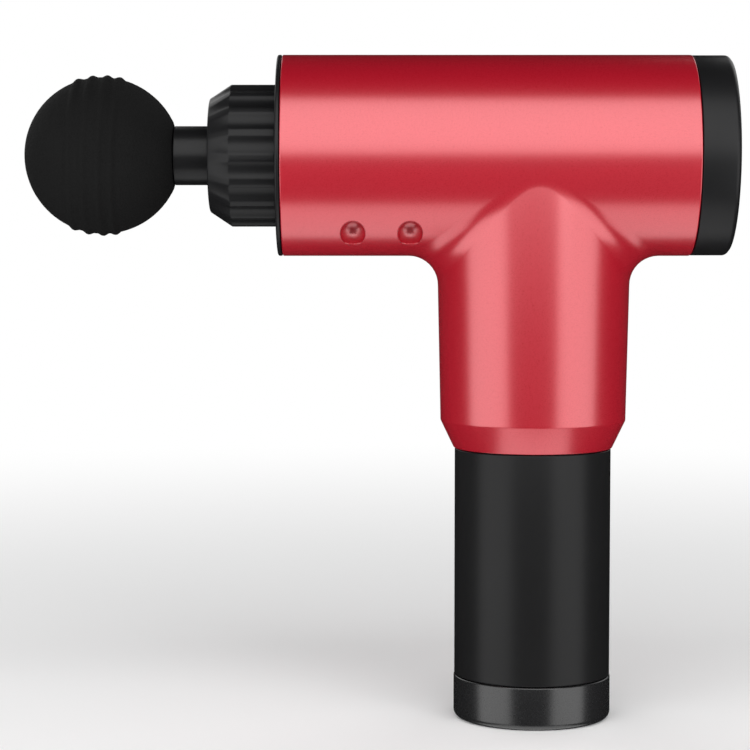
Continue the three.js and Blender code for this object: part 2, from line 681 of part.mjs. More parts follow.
function plunger() {
  const body = revolve('x', [
    [PLUNGER_X[0], SOCKET_R + 0.8],
    [PLUNGER_X[0], PLUNGER_R - 0.6],
    [PLUNGER_X[0] + 0.6, PLUNGER_R],
    [PLUNGER_X[1], PLUNGER_R],
    [PLUNGER_X[1], 0],
    [SOCKET_END_X, 0],
    [SOCKET_END_X, SOCKET_R],
    [PLUNGER_X[0] + 0.8, SOCKET_R],
  ]);
  const rodSlot = box(
    [WRIST_X - SMALL_END_R - 0.5, PLUNGER_X[1] + PAST],
    [-PLUNGER_R - PAST, PLUNGER_R + PAST],
    [lowered(ROD_Z[0]) - GAP, lowered(ROD_Z[1]) + GAP],
  );
  const pinHole = disc('z', WRIST_PIN_R + GAP, -OUTSIDE, OUTSIDE).translate(WRIST_X, 0, 0);
  return cut(body, rodSlot, pinHole);
}

node(barrel, 'plunger', plunger(), castAluminium);
const wristPin = disc('z', WRIST_PIN_R, -WRIST_PIN_HALF_LENGTH, WRIST_PIN_HALF_LENGTH);
node(barrel, 'wrist_pin', wristPin, steel, [WRIST_X, 0, 0]);

// ---- Ball head -----------------------------------------------------------------------------

node(barrel, 'head_stem', revolve('x', [
  [STEM_TIP_X, 0],
  [STEM_TIP_X, STEM_TIP_R],
  [BALL_FLAT_X + GAP, STEM_TIP_R],
  [BALL_FLAT_X + GAP, STEM_R],
  [GROOVE_X - GROOVE_HALF_WIDTH, STEM_R],
  [GROOVE_X - GROOVE_HALF_WIDTH, GROOVE_R],
  [GROOVE_X + GROOVE_HALF_WIDTH, GROOVE_R],
  [GROOVE_X + GROOVE_HALF_WIDTH, STEM_R],
  [STEM_END_X - 1, STEM_R],
  [STEM_END_X, STEM_R - 1],
  [STEM_END_X, 0],
]), satinBlack);

const stemRing = new THREE.TorusGeometry(STEM_RING_R, STEM_RING_TUBE_R, 6, MEDIUM);
stemRing.rotateY(Math.PI / 2);
node(barrel, 'stem_ring', toSolid(stemRing), rubber, [GROOVE_X, 0, 0]);

/** The ball's outer radius at a distance along the axis from its centre, with its four ribs. */
function ballRadius(along) {
  const sphere = Math.sqrt(Math.max(BALL_R ** 2 - along ** 2, 0));
  const rib = RIB_X.map((x) => {
    const across = (along - (x - BALL_X)) / RIB_HALF_WIDTH;
    return Math.abs(across) < 1 ? RIB_HEIGHT * Math.cos((across * Math.PI) / 2) ** 2 : 0;
  });
  return sphere + Math.max(...rib);
}

function massageBall() {
  const flat = BALL_FLAT_X - BALL_X;
  const ribs = RIB_X.flatMap((x) => [-1, 0, 1].map((k) => x - BALL_X + k * RIB_HALF_WIDTH));
  const plain = [];
  for (let degrees = 180; degrees >= 2 * BALL_STEP; degrees -= BALL_STEP) {
    const along = BALL_R * Math.cos(THREE.MathUtils.degToRad(degrees));
    if (ribs.every((other) => Math.abs(other - along) > 0.6)) plain.push(along);
  }
  const stations = [...plain, ...ribs, flat].sort((a, b) => a - b);
  const outline = stations.map((along) => [BALL_X + along, ballRadius(along)]);
  return revolve('x', [
    ...outline,
    [BALL_FLAT_X, STEM_TIP_R + GAP],
    [STEM_TIP_X - GAP, STEM_TIP_R + GAP],
    [STEM_TIP_X - GAP, 0],
  ]);
}

node(barrel, 'massage_ball', massageBall(), foam);

// ---- Handle --------------------------------------------------------------------------------

node(massageGun, 'handle_tube', ring('z', TUBE_R, ...TUBE_Z), glossBlack);
const NECK_RING_R = [TUBE_R[1] + GAP, NECK_LOW_R - WALL - GAP];
node(massageGun, 'neck_ring', ring('z', NECK_RING_R, ...NECK_RING_Z), rubber);
node(massageGun, 'grip_sleeve', revolve('z', [
  [END_CAP_TOP_Z + GAP, TUBE_R[1] + GAP],
  [END_CAP_TOP_Z + GAP, GRIP_R],
  [NECK_END_Z - GAP, GRIP_R],
  [NECK_END_Z - GAP, TUBE_R[1] + GAP],
], LARGE), gripRubber);
node(massageGun, 'end_cap', revolve('z', [
  [0, 0],
  ...arc([FOOT_EDGE_R, END_CAP_R - FOOT_EDGE_R], FOOT_EDGE_R, 180, 90, 3),
  [END_CAP_TOP_Z - CAP_CHAMFER, END_CAP_R],
  [END_CAP_TOP_Z, END_CAP_R - CAP_CHAMFER],
  [END_CAP_TOP_Z, TUBE_R[1] + GAP],
  [TUBE_Z[0] - GAP, TUBE_R[1] + GAP],
  [TUBE_Z[0] - GAP, 0],
], LARGE), glossBlack);

// ---- Battery -------------------------------------------------------------------------------

const HOLDER_R = TUBE_R[0] - GAP;
const POCKET_FOR_CELL_R = CELL_R + GAP + 0.05;
const cellPlaces = [90, 210, 330].map((degrees) => {
  const angle = THREE.MathUtils.degToRad(degrees);
  return [CELL_CIRCLE_R * Math.cos(angle), CELL_CIRCLE_R * Math.sin(angle)];
});

/** A plastic disc that holds three cells, pocketed where the cells stand. */
function cellHolder([bottom, top], pockets) {
  const tools = pockets.flatMap(([from, to]) =>
    cellPlaces.map(([x, y]) => disc('z', POCKET_FOR_CELL_R, from, to).translate(x, y, 0)));
  return cut(disc('z', HOLDER_R, bottom, top, MEDIUM), ...tools);
}

let cellNumber = 0;
for (const z of CELL_LOW_Z) {
  for (const [x, y] of cellPlaces) {
    cellNumber += 1;
    const can = disc('z', CELL_R, 0, CELL_LENGTH - TERMINAL_HEIGHT);
    const terminal = disc('z', TERMINAL_R, 0, CELL_LENGTH, TINY);
    node(massageGun, `battery_cell_${cellNumber}`, join(can, terminal), cellWrap, [x, y, z]);
  }
}
node(massageGun, 'cell_holder_lower', cellHolder([3, 10], [[4.9, 12]]), nylon);
node(massageGun, 'cell_holder_middle', cellHolder([66.5, 77], [[60, 70.5], [72.5, 80]]), nylon);
node(massageGun, 'cell_holder_upper', cellHolder([132, 141], [[130, 138.1]]), nylon);
node(massageGun, 'battery_board', disc('z', BOARD_R, ...BATTERY_BOARD_Z, MEDIUM), boardGreen);

// ---- Leads ---------------------------------------------------------------------------------

node(massageGun, 'battery_lead', lead([
  [26.6, 0, 143.3], [26.7, 0, 156], [26.9, 0, 170], [33, 0, 181], [45.6, 0, 184],
], 1.1), leadRed);
node(massageGun, 'motor_lead', lead([
  [14, 9, 166], [22, 9, 166], [25.6, 9, 168.5], [27, 9, 176], [35, 9, 184], [45.6, 9, 186],
], 0.7), rubber);

export default massageGun;
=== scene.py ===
"""Massage gun, visual model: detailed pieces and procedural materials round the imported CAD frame."""
import json
import math
import bpy
import numpy as np
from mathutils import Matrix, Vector
from mathutils.geometry import delaunay_2d_cdt


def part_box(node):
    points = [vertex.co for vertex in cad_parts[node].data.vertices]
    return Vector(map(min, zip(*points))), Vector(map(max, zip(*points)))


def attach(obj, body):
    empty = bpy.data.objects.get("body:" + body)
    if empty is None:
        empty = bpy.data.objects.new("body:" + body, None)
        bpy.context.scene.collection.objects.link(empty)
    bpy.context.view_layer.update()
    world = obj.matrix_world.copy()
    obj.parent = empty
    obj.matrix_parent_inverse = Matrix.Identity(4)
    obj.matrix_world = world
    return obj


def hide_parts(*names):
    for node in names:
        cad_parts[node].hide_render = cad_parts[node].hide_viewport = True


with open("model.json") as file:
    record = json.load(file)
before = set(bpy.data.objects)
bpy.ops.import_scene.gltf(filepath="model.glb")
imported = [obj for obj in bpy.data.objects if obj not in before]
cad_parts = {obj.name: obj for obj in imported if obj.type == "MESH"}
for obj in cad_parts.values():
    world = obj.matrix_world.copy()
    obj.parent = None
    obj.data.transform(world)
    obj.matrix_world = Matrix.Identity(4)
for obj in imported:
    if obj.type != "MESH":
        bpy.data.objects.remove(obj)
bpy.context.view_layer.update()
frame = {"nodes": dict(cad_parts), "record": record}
scene = bpy.context.scene

MM = 0.001
GAP = 0.3  # mm, between pieces that touch


def node_box(node):
    """A CAD node's lowest and highest corners in millimetres."""
    low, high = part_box(node)
    return low / MM, high / MM


# ---- Places and sizes in millimetres, from the frame where it has them -----------------------

shell_low, shell_high = node_box("housing")
plate_low, plate_high = node_box("front_plate")
collar_low, collar_high = node_box("nose_collar")
cap_low, cap_high = node_box("rear_cap")
panel_low, panel_high = node_box("vent_panel")
button_low, button_high = node_box("power_button")
jack_low, jack_high = node_box("dc_jack")
jack_ring_low, jack_ring_high = node_box("dc_jack_ring")
ball_low = node_box("massage_ball")[0]
stem_low, stem_high = node_box("head_stem")
stem_ring_low, stem_ring_high = node_box("stem_ring")
grip_low, grip_high = node_box("grip_sleeve")
foot_high = node_box("end_cap")[1]
guide_low = node_box("light_guide")[0]

BARREL_R = (shell_high.y - shell_low.y) / 2
AXIS_Z = shell_high.z - BARREL_R
WALL = 2.5
NECK_TOP_R = 31.15
NECK_LOW_R = 30.2
NECK_TAPER_TOP_Z = 142
NECK_SHOULDER_Z = 98
NECK_END_R = 25.9
HANDLE_TUBE_R = 23.9  # the bore of everything that sits round the handle's tube
FILLET_R = 9.5
FIXING_X = [(node_box(f"screw_cover_{i}")[0].x + node_box(f"screw_cover_{i}")[1].x) / 2 for i in (1, 3)]
FIXING_DROP = AXIS_Z - (node_box("frame_screw_1")[0].z + node_box("frame_screw_1")[1].z) / 2
POCKET_R = 4.1
POCKET_FLOOR_Y = 9.3

# ---- Camera ----------------------------------------------------------------------------------

CAMERA_TARGET = Vector((-51.65, 0, 112.55)) * MM
CAMERA_DISTANCE = 775 * MM
CAMERA_YAW = math.radians(0)  # positive towards the ball head
CAMERA_PITCH = math.radians(4.2)
CAMERA_LENS = 113.7  # mm, the focal length that frames the gun as the photo does
camera_data = bpy.data.cameras.new("camera")
camera_data.lens = CAMERA_LENS
camera = bpy.data.objects.new("camera", camera_data)
scene.collection.objects.link(camera)
away = Vector((
    -math.sin(CAMERA_YAW) * math.cos(CAMERA_PITCH),
    -math.cos(CAMERA_YAW) * math.cos(CAMERA_PITCH),
    math.sin(CAMERA_PITCH),
))
camera.location = CAMERA_TARGET + away * CAMERA_DISTANCE
camera.rotation_euler = away.to_track_quat("Z", "Y").to_euler()
scene.camera = camera

# ---- Studio ----------------------------------------------------------------------------------

scene.view_settings.view_transform = "Standard"
BACKDROP = 1.0
WORLD_FILL = 0.22  # what matt surfaces gather from the surroundings
WORLD_MIRRORED = 0.01  # what glossy surfaces mirror between the softboxes
FLOOR_HALF = 6.0  # metres
FLOOR_SHADE = 0.9
FLOOR_FADE = (0.08, 0.9)  # metres from the gun, where the floor starts and ends turning into backdrop


def softbox(name, azimuth, elevation, distance, size, radiance, target=(0, 0, 165)):
    """An area light aimed at the gun; azimuth 0 is the camera's side, and its size is in metres."""
    data = bpy.data.lights.new(name, "AREA")
    data.shape = "RECTANGLE"
    data.size, data.size_y = size
    data.energy = 4 * radiance * size[0] * size[1]
    light = bpy.data.objects.new(name, data)
    a, e = math.radians(azimuth), math.radians(elevation)
    toward = Vector((math.sin(a) * math.cos(e), -math.cos(a) * math.cos(e), math.sin(e)))
    light.location = Vector(target) * MM + toward * distance
    light.rotation_euler = toward.to_track_quat("Z", "Y").to_euler()
    light.visible_camera = False
    scene.collection.objects.link(light)


def studio():
    """A high key, two upright strips, a card under the barrel, two rear lights and the surroundings."""
    softbox("key_above", 0, 34, 0.9, (1.5, 1.12), 1.6)
    softbox("strip_left", -60, -4, 0.8, (0.78, 0.9), 1.35, (0, 0, 100))
    softbox("strip_right", 51, -4, 0.8, (0.76, 0.9), 1.35, (0, 0, 100))
    softbox("card_below", 0, -80, 0.38, (0.5, 0.42), 1.0, (0, 0, 120))
    softbox("rear_left", -140, 25, 1.0, (0.7, 0.7), 1.0)
    softbox("rear_right", 140, 25, 1.0, (0.7, 0.7), 1.0)

    world = bpy.data.worlds.new("studio")
    world.use_nodes = True
    scene.world = world
    tree = world.node_tree
    tree.nodes.clear()
    output = tree.nodes.new("ShaderNodeOutputWorld")
    path = tree.nodes.new("ShaderNodeLightPath")

    def sky(level):
        shader = tree.nodes.new("ShaderNodeBackground")
        shader.inputs["Color"].default_value = (level, level, level, 1)
        return shader.outputs[0]

    def choose(ray, otherwise, chosen):
        mix = tree.nodes.new("ShaderNodeMixShader")
        tree.links.new(path.outputs[ray], mix.inputs[0])
        tree.links.new(otherwise, mix.inputs[1])
        tree.links.new(chosen, mix.inputs[2])
        return mix.outputs[0]

    mirrored = choose("Is Glossy Ray", sky(WORLD_FILL), sky(WORLD_MIRRORED))
    tree.links.new(choose("Is Camera Ray", mirrored, sky(BACKDROP)), output.inputs["Surface"])


def floor():
    """A pale floor whose far part has the backdrop's brightness, so that no horizon shows."""
    mesh = bpy.data.meshes.new("floor")
    corners = [(x * FLOOR_HALF, y * FLOOR_HALF, 0) for x, y in ((-1, -1), (1, -1), (1, 1), (-1, 1))]
    mesh.from_pydata(corners, [], [(0, 1, 2, 3)])
    obj = bpy.data.objects.new("floor", mesh)
    scene.collection.objects.link(obj)
    material = bpy.data.materials.new("floor")
    material.use_nodes = True
    tree = material.node_tree
    tree.nodes.clear()
    output = tree.nodes.new("ShaderNodeOutputMaterial")
    near = tree.nodes.new("ShaderNodeBsdfDiffuse")
    near.inputs["Color"].default_value = (FLOOR_SHADE, FLOOR_SHADE, FLOOR_SHADE, 1)
    far = tree.nodes.new("ShaderNodeEmission")
    far.inputs["Color"].default_value = (BACKDROP, BACKDROP, BACKDROP, 1)
    place = tree.nodes.new("ShaderNodeTexCoord")
    length = tree.nodes.new("ShaderNodeVectorMath")
    length.operation = "LENGTH"
    fade = tree.nodes.new("ShaderNodeMapRange")
    fade.interpolation_type = "SMOOTHSTEP"
    fade.inputs["From Min"].default_value, fade.inputs["From Max"].default_value = FLOOR_FADE
    mix = tree.nodes.new("ShaderNodeMixShader")
    tree.links.new(place.outputs["Object"], length.inputs[0])
    tree.links.new(length.outputs["Value"], fade.inputs["Value"])
    tree.links.new(fade.outputs["Result"], mix.inputs[0])
    tree.links.new(near.outputs[0], mix.inputs[1])
    tree.links.new(far.outputs[0], mix.inputs[2])
    tree.links.new(mix.outputs[0], output.inputs["Surface"])
    mesh.materials.append(material)
    obj.visible_glossy = False
    obj.visible_shadow = False


# ---- Materials -------------------------------------------------------------------------------

PATCH_SCALE = 38  # soft patches per metre


def finish(name, color, metallic, roughness, grain=0.0004, bump=0.0, wobble=0.06, mottle=0.12, **sockets):
    """
    A Principled material with procedural variation: mottle darkens the colour in soft patches,
    wobble varies the roughness, and bump raises a grain of the given size in metres.
    """
    material = bpy.data.materials.new(name)
    material.use_nodes = True
    tree = material.node_tree
    shader = tree.nodes["Principled BSDF"]
    shader.inputs["Metallic"].default_value = metallic
    for socket, value in sockets.items():
        shader.inputs[socket.replace("_", " ")].default_value = value
    place = tree.nodes.new("ShaderNodeTexCoord")

    patches = tree.nodes.new("ShaderNodeTexNoise")
    patches.inputs["Scale"].default_value = PATCH_SCALE
    patches.inputs["Detail"].default_value = 5
    tree.links.new(place.outputs["Object"], patches.inputs["Vector"])
    tint = tree.nodes.new("ShaderNodeMix")
    tint.data_type = "RGBA"
    tint.inputs["A"].default_value = (*[c * (1 - mottle) for c in color], 1)
    tint.inputs["B"].default_value = (*[min(c * (1 + mottle), 1) for c in color], 1)
    tree.links.new(patches.outputs["Fac"], tint.inputs["Factor"])
    tree.links.new(tint.outputs["Result"], shader.inputs["Base Color"])

    fine = tree.nodes.new("ShaderNodeTexNoise")
    fine.inputs["Scale"].default_value = 1 / grain
    fine.inputs["Detail"].default_value = 3
    tree.links.new(place.outputs["Object"], fine.inputs["Vector"])
    gloss = tree.nodes.new("ShaderNodeMapRange")
    gloss.inputs["To Min"].default_value = max(roughness - wobble, 0.02)
    gloss.inputs["To Max"].default_value = min(roughness + wobble, 1)
    tree.links.new(fine.outputs["Fac"], gloss.inputs["Value"])
    tree.links.new(gloss.outputs["Result"], shader.inputs["Roughness"])
    if bump:
        relief = tree.nodes.new("ShaderNodeBump")
        relief.inputs["Strength"].default_value = 1
        relief.inputs["Distance"].default_value = bump
        tree.links.new(fine.outputs["Fac"], relief.inputs["Height"])
        tree.links.new(relief.outputs["Normal"], shader.inputs["Normal"])
    return material


def glow(name, color, strength):
    """A lit lens that shines in its own colour."""
    material = finish(name, color, 0, 0.3, mottle=0.05, Coat_Weight=0.3)
    shader = material.node_tree.nodes["Principled BSDF"]
    shader.inputs["Emission Color"].default_value = (*color, 1)
    shader.inputs["Emission Strength"].default_value = strength
    return material


RED = (0.47, 0.0015, 0.016)
RED_LACQUER = {"IOR": 1.9, "Specular_IOR_Level": 0.6, "Coat_Weight": 0.5, "Coat_IOR": 1.8}
red_shell = finish(
    "red_shell", RED, 0.3, 0.28, grain=0.00016, bump=0.000003, wobble=0.03, mottle=0.04,
    Coat_Roughness=0.25, **RED_LACQUER)
red_plug = finish(
    "red_plug", RED, 0.3, 0.3, grain=0.00016, wobble=0.03, mottle=0.04, Coat_Roughness=0.28, **RED_LACQUER)
black_satin = finish(
    "black_satin", (0.007, 0.007, 0.0075), 0, 0.38, grain=0.00022, bump=0.000008, Specular_IOR_Level=0.24)
panel_black = finish(
    "panel_black", (0.018, 0.018, 0.019), 0, 0.5, grain=0.0003, bump=0.00003, Specular_IOR_Level=0.4)
button_black = finish("button_black", (0.015, 0.015, 0.016), 0, 0.45, bump=0.00001, Specular_IOR_Level=0.4)
mark_grey = finish("mark_grey", (0.05, 0.05, 0.052), 0, 0.4)
stem_black = finish("stem_black", (0.007, 0.007, 0.0075), 0, 0.32, grain=0.0003, Specular_IOR_Level=0.25)
grip_rubber = finish(
    "grip_rubber", (0.0085, 0.0085, 0.0088), 0, 0.34, grain=0.00018, bump=0.00001, Specular_IOR_Level=0.2)
cap_gloss = finish("cap_gloss", (0.010, 0.010, 0.0105), 0, 0.26, grain=0.0005, Specular_IOR_Level=0.75)
black_gloss = finish("black_gloss", (0.008, 0.008, 0.009), 0, 0.25, grain=0.0005)
black_rubber = finish("black_rubber", (0.012, 0.012, 0.012), 0, 0.7, bump=0.00002)
black_foam = finish(
    "black_foam", (0.0055, 0.0055, 0.0055), 0, 0.9, grain=0.0007, bump=0.0003, mottle=0.35,
    Specular_IOR_Level=0.12)
nickel = finish("nickel", (0.75, 0.75, 0.77), 1, 0.2, wobble=0.04, mottle=0.04)
steel = finish("steel", (0.56, 0.57, 0.59), 1, 0.32, grain=0.0006, wobble=0.1, bump=0.00001)
cast_aluminium = finish("cast_aluminium", (0.62, 0.63, 0.65), 1, 0.45, grain=0.0005, bump=0.00003)
copper_wire = finish("copper_wire", (0.6, 0.24, 0.09), 1, 0.3, grain=0.0004, bump=0.00008)
white_nylon = finish("white_nylon", (0.72, 0.7, 0.64), 0, 0.5, bump=0.00002)
circuit_board = finish("circuit_board", (0.02, 0.13, 0.045), 0, 0.35, mottle=0.3, Coat_Weight=0.4)
cell_wrap = finish("cell_wrap", (0.03, 0.16, 0.45), 0, 0.3, grain=0.0008, mottle=0.06, Coat_Weight=0.3)
lead_red = finish("lead_red", (0.4, 0.015, 0.015), 0, 0.45, bump=0.00001)
red_light = glow("red_light", (0.9, 0.008, 0.02), 2.2)

SLOT_MATERIALS = {
    "red_shell": red_shell, "red_plug": red_plug, "black_satin": black_satin, "panel_black": panel_black,
    "button_black": button_black, "stem_black": stem_black, "grip_rubber": grip_rubber,
    "cap_gloss": cap_gloss, "black_gloss": black_gloss, "black_rubber": black_rubber,
    "black_foam": black_foam, "nickel": nickel, "steel": steel, "cast_aluminium": cast_aluminium,
    "copper_wire": copper_wire, "white_nylon": white_nylon, "circuit_board": circuit_board,
    "cell_wrap": cell_wrap, "lead_red": lead_red, "red_light": red_light,
}

# ---- Mesh tools ------------------------------------------------------------------------------


class Patches:
    """Surface patches, in millimetres from the barrel's axis, gathered into one closed mesh."""

    def __init__(self):
        self.places = {}
        self.points = []
        self.faces = []
        self.normals = []

    def add(self, points, faces, normals=None, flip=False):
        """Adds faces; normals, one a point, are exact shading normals where the surface is smooth."""
        ids = []
        for p in points:
            key = tuple(round(float(c), 4) for c in p)
            if key not in self.places:
                self.places[key] = len(self.points)
                self.points.append(tuple(float(c) for c in p))
            ids.append(self.places[key])
        for face in faces:
            corners = list(face)[::-1] if flip else list(face)
            merged = [ids[c] for c in corners]
            kept = [i for i, v in enumerate(merged) if v != merged[i - 1]]
            if len(kept) < 3:
                continue
            self.faces.append([merged[i] for i in kept])
            self.normals.append(None if normals is None else [normals[corners[i]] for i in kept])

    def grid(self, rows, closed, normals=None, flip=False):
        """A surface through rows of points of equal length, closed round each row if asked."""
        count = len(rows[0])
        points = [p for row in rows for p in row]
        flat_normals = None if normals is None else [n for row in normals for n in row]
        faces = []
        for i in range(len(rows) - 1):
            for j in range(count if closed else count - 1):
                k = (j + 1) % count
                faces.append((i * count + j, i * count + k, (i + 1) * count + k, (i + 1) * count + j))
        self.add(points, faces, flat_normals, flip)

    def finish(self, name, material, angle=32):
        """The mesh as an object, moved to the barrel's axis, with the exact normals it was given."""
        mesh = bpy.data.meshes.new(name)
        points = [(x * MM, y * MM, (z + AXIS_Z) * MM) for x, y, z in self.points]
        mesh.from_pydata(points, [], self.faces)
        mesh.polygons.foreach_set("use_smooth", [True] * len(mesh.polygons))
        mesh.set_sharp_from_angle(angle=math.radians(angle))
        mesh.update()
        corners = np.zeros(len(mesh.loops) * 3)
        mesh.corner_normals.foreach_get("vector", corners)
        corners = corners.reshape(-1, 3)
        for polygon, normals in zip(mesh.polygons, self.normals):
            if normals is not None:
                corners[polygon.loop_start:polygon.loop_start + len(normals)] = normals
        mesh.normals_split_custom_set(corners.tolist())
        return link(name, mesh, material)


def link(name, mesh, material):
    """The mesh as an object of the scene, in one material."""
    mesh.materials.append(material)
    obj = bpy.data.objects.new(name, mesh)
    scene.collection.objects.link(obj)
    return obj


def solid(name, points, faces, material, angle=32):
    """A closed mesh from points in millimetres, smooth apart from edges sharper than the angle."""
    mesh = bpy.data.meshes.new(name)
    mesh.from_pydata([(x * MM, y * MM, z * MM) for x, y, z in points], [], faces)
    mesh.polygons.foreach_set("use_smooth", [True] * len(mesh.polygons))
    mesh.set_sharp_from_angle(angle=math.radians(angle))
    mesh.update()
    return link(name, mesh, material)


def rounded(corners, steps=6):
    """An outline from (along, radius, rounding) corners, each rounded by an arc of its rounding."""
    outline = []
    for i, (along, radius, rounding) in enumerate(corners):
        here = np.array((along, radius), float)
        if rounding <= 0:
            outline.append(tuple(here))
            continue
        before = np.array(corners[i - 1][:2], float) - here
        after = np.array(corners[(i + 1) % len(corners)][:2], float) - here
        before /= np.linalg.norm(before)
        after /= np.linalg.norm(after)
        half = math.acos(float(np.clip(before @ after, -1, 1))) / 2
        setback = rounding / math.tan(half)
        middle = (before + after) / np.linalg.norm(before + after)
        centre = here + middle * rounding / math.sin(half)
        first, last = here + before * setback - centre, here + after * setback - centre
        sweep = math.pi - 2 * half
        for s in range(steps + 1):
            a = sweep * s / steps
            offset = (first * math.sin(sweep - a) + last * math.sin(a)) / math.sin(sweep)
            outline.append(tuple(centre + offset))
    return outline


def ring_faces(rings):
    """
    Faces between neighbouring rings of point numbers. The last ring joins the first, unless they are
    tips: rings of a single point.
    """
    pairs = list(zip(rings, rings[1:]))
    if len(rings[0]) > 1:
        pairs.append((rings[-1], rings[0]))
    faces = []
    for one, two in pairs:
        around = max(len(one), len(two))
        for i in range(around):
            k = (i + 1) % around
            if len(one) == 1:
                faces.append((one[0], two[k], two[i]))
            elif len(two) == 1:
                faces.append((one[i], one[k], two[0]))
            else:
                faces.append((one[i], one[k], two[k], two[i]))
    return faces


def turned(name, outline, around, place, material, angle=32):
    """
    A closed solid of revolution from (along, radius) points, which start and end on the axis or
    close on themselves; place gives a point's position from its distance along and its two offsets.
    """
    points, rings = [], []
    for along, radius in outline:
        count = around if radius > 1e-6 else 1
        rings.append([len(points) + i for i in range(count)])
        for i in range(count):
            a = 2 * math.pi * i / around
            points.append(place(along, radius * math.cos(a), radius * math.sin(a)))
    return solid(name, points, outward(points, ring_faces(rings)), material, angle)


def lathe(name, outline, material, height=None, segments=128):
    """A piece turned about a line along X, at the barrel's axis or at another height."""
    z = AXIS_Z if height is None else height
    return turned(name, outline, segments, lambda along, c, d: (along, c, d + z), material)


def upright(name, outline, material, segments=192):
    """A piece turned about the handle's axis, from (height, radius) points."""
    return turned(name, outline, segments, lambda along, c, d: (c, d, along), material)


def outward(points, faces):
    """The faces, turned over if they enclose a negative volume."""
    p = np.array(points, float)
    p -= p.mean(0)
    volume = 0.0
    for face in faces:
        for k in range(1, len(face) - 1):
            volume += np.dot(p[face[0]], np.cross(p[face[k]], p[face[k + 1]]))
    return faces if volume > 0 else [tuple(face)[::-1] for face in faces]


def piece(obj, body, slot, *nodes):
    """Hangs a piece on the empty of the body it rides on and hides the CAD nodes it stands for; slot is not
    used.
    """
    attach(obj, body)
    if nodes:
        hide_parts(*nodes)
    return obj


def fill_plane(loops, inner_points, is_hole):
    """Triangles over a plane region bounded by loops, leaving out those that is_hole accepts."""
    points, edges = [], []
    for loop in loops:
        start = len(points)
        points.extend(loop)
        edges.extend((start + i, start + (i + 1) % len(loop)) for i in range(len(loop)))
    points.extend(inner_points)
    verts, _, faces, _, _, _ = delaunay_2d_cdt([Vector(p) for p in points], edges, [], 0, 1e-6)
    kept = [f for f in faces if not is_hole(sum((verts[i] for i in f), Vector((0, 0))) / 3)]
    return verts, kept


# ---- Red T-shaped shell ----------------------------------------------------------------------

AROUND = 144  # points round the neck
BARREL_COLUMNS = 120  # points round the barrel
BARREL_STEP = 3.5  # mm between rows of points along the barrel
HOLE_POINTS = 40
BLEND_STEPS = 10
BARREL_EDGE = 0.35
POCKET_EDGE = 0.08


class Tee:
    """Barrel and neck surfaces and the blend between them, all offset inwards by a depth."""

    def __init__(self, depth):
        self.depth = depth
        self.barrel = BARREL_R - depth
        self.neck = NECK_TOP_R - depth
        self.fillet = FILLET_R + depth

    def centre(self, angle):
        """The rolling ball's centre, where it touches the barrel and the neck."""
        reach = self.neck + self.fillet
        x, y = reach * math.cos(angle), reach * math.sin(angle)
        return np.array((x, y, -math.sqrt((self.barrel + self.fillet) ** 2 - y * y)))

    def blend_row(self, angle, steps):
        """Points and normals across the blend, from the barrel's edge of it to the neck's."""
        centre = self.centre(angle)
        on_barrel = np.array((0, -centre[1], -centre[2])) / (self.barrel + self.fillet)
        on_neck = np.array((-math.cos(angle), -math.sin(angle), 0))
        sweep = math.acos(float(np.clip(on_barrel @ on_neck, -1, 1)))
        points, normals = [], []
        for s in range(steps + 1):
            a = sweep * s / steps
            d = (on_barrel * math.sin(sweep - a) + on_neck * math.sin(a)) / math.sin(sweep)
            points.append(centre + d * self.fillet)
            normals.append(-d)
        return points, normals

    def barrel_point(self, u, x):
        """A point of the barrel and its normal; u is the distance round from the lowest line."""
        a = u / self.barrel
        normal = np.array((0, math.sin(a), -math.cos(a)))
        return np.array((x, 0, 0)) + normal * self.barrel, normal

    def unrolled(self, point):
        """A barrel point's distance round from the lowest line, and its distance along."""
        return (math.atan2(point[1], -point[2]) * self.barrel, point[0])


def pocket_loop(tee, x, side, radius):
    """The edge of a round pocket, bored along Y, on the barrel's surface."""
    loop = []
    for i in range(HOLE_POINTS):
        a = 2 * math.pi * i / HOLE_POINTS
        px, pz = x + radius * math.cos(a), -FIXING_DROP + radius * math.sin(a)
        loop.append((px, side * math.sqrt(tee.barrel ** 2 - pz * pz), pz))
    return loop


POCKETS = [(x, side) for x in FIXING_X for side in (-1, 1)]


def barrel_skin(patches, tee, x_from, x_to, blend_edge, pocket_radius, flip):
    """The barrel's cylinder, triangulated round the neck opening and the pockets."""
    width = math.pi * tee.barrel
    columns = [-width + 2 * width * i / BARREL_COLUMNS for i in range(BARREL_COLUMNS + 1)]
    lines = int((x_to - x_from) / BARREL_STEP)
    stations = [x_from + (x_to - x_from) * i / lines for i in range(lines + 1)]
    border = [(u, x_from) for u in columns[:-1]] + [(width, x) for x in stations[:-1]]
    border += [(u, x_to) for u in columns[:0:-1]] + [(-width, x) for x in stations[:0:-1]]
    opening = [tee.unrolled(p) for p in blend_edge]
    holes = [[tee.unrolled(p) for p in pocket_loop(tee, x, side, pocket_radius)] for x, side in POCKETS]
    reach = tee.neck + tee.fillet

    def in_opening(p, margin=0.0):
        y = tee.barrel * math.sin(p[0] / tee.barrel) * (tee.barrel + tee.fillet) / tee.barrel
        return abs(p[0]) < width / 2 and math.hypot(p[1], y) < reach + margin

    def in_pocket(p, margin=0.0):
        z = -tee.barrel * math.cos(p[0] / tee.barrel)
        return abs(p[0]) < width / 2 and any(
            p[0] * side > 0 and math.hypot(p[1] - x, z + FIXING_DROP) < pocket_radius + margin
            for x, side in POCKETS)

    inner = [(u, x) for u in columns[1:-1] for x in stations[1:-1]
             if not in_opening((u, x), 1.2) and not in_pocket((u, x), 0.9)]
    verts, faces = fill_plane([border, opening, *holes], inner, lambda p: in_opening(p) or in_pocket(p))
    places = [tee.barrel_point(v[0], v[1]) for v in verts]
    sign = -1 if flip else 1
    patches.add([p for p, _ in places], faces, [n * sign for _, n in places], flip)


